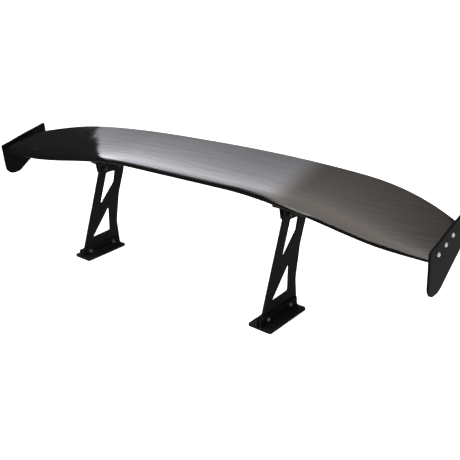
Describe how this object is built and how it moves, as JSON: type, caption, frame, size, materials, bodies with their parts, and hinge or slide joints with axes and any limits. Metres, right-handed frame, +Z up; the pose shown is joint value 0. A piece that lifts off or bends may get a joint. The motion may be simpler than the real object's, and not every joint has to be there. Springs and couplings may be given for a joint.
{
  "type": "racing rear wing",
  "caption": "Adjustable motorsport rear wing: a wide cambered aerofoil with drooping ends and end plates, clamped at a set tilt on leaning, windowed stands with bolt-down feet.",
  "frame": {"origin": "middle of the whole object's footprint, on the surface under the foot gaskets", "axes": "+X across the car towards its right-hand end plate when seen from the front, +Y rearwards from nose to trailing edge, +Z up"},
  "size_m": [1.5784, 0.242, 0.3796],
  "materials": {
    "carbon_skin": "woven carbon twill under a thick gloss clear coat",
    "spar_laminate": "bare moulded laminate",
    "plywood": "sealed birch ply",
    "brass": "turned",
    "end_plate_black": "gloss black over aluminium plate",
    "stand_black": "satin black anodised",
    "black_rubber": "matte",
    "bright_steel": "bright stainless",
    "dark_steel": "black oxide"
  },
  "bodies": {
    "stands": {"left_pedestal_plate": "stand_black", "left_inner_foot_angle": "stand_black", "left_outer_foot_angle": "stand_black", "left_foot_gasket": "black_rubber", "left_foot_bolts": "bright_steel", "left_foot_nuts": "bright_steel", "left_foot_washers": "bright_steel", "left_pivot_bolt": "dark_steel", "left_pivot_nut": "dark_steel", "left_pivot_washers": "dark_steel", "left_adjuster_bolt": "dark_steel", "left_adjuster_nut": "dark_steel", "left_adjuster_washers": "dark_steel", "right_pedestal_plate": "stand_black", "right_inner_foot_angle": "stand_black", "right_outer_foot_angle": "stand_black", "right_foot_gasket": "black_rubber", "right_foot_bolts": "bright_steel", "right_foot_nuts": "bright_steel", "right_foot_washers": "bright_steel", "right_pivot_bolt": "dark_steel", "right_pivot_nut": "dark_steel", "right_pivot_washers": "dark_steel", "right_adjuster_bolt": "dark_steel", "right_adjuster_nut": "dark_steel", "right_adjuster_washers": "dark_steel"},
    "wing": {"upper_skin": "carbon_skin", "lower_skin": "carbon_skin", "main_spar": "spar_laminate", "centre_rib": "plywood", "left_inner_rib": "plywood", "right_inner_rib": "plywood", "left_outer_rib": "plywood", "right_outer_rib": "plywood", "left_tip_rib": "plywood", "right_tip_rib": "plywood", "left_mount_block": "plywood", "right_mount_block": "plywood", "left_mount_inserts": "brass", "right_mount_inserts": "brass", "left_tip_inserts": "brass", "right_tip_inserts": "brass", "left_end_plate": "end_plate_black", "right_end_plate": "end_plate_black", "left_inner_top_bracket": "stand_black", "right_inner_top_bracket": "stand_black", "left_outer_top_bracket": "stand_black", "right_outer_top_bracket": "stand_black", "left_saddle_pad": "black_rubber", "right_saddle_pad": "black_rubber", "left_end_plate_screws": "bright_steel", "right_end_plate_screws": "bright_steel", "left_end_plate_washers": "bright_steel", "right_end_plate_washers": "bright_steel", "left_wing_screws": "dark_steel", "right_wing_screws": "dark_steel", "left_wing_screw_washers": "dark_steel", "right_wing_screw_washers": "dark_steel"}
  },
  "joints": [
    {"name": "wing_tilt", "type": "hinge", "parent": "stands", "child": "wing", "pos_m": [0, 0.0092, 0.268], "axis": [1, 0, 0], "range_deg": [-4, 8]}
  ]
}
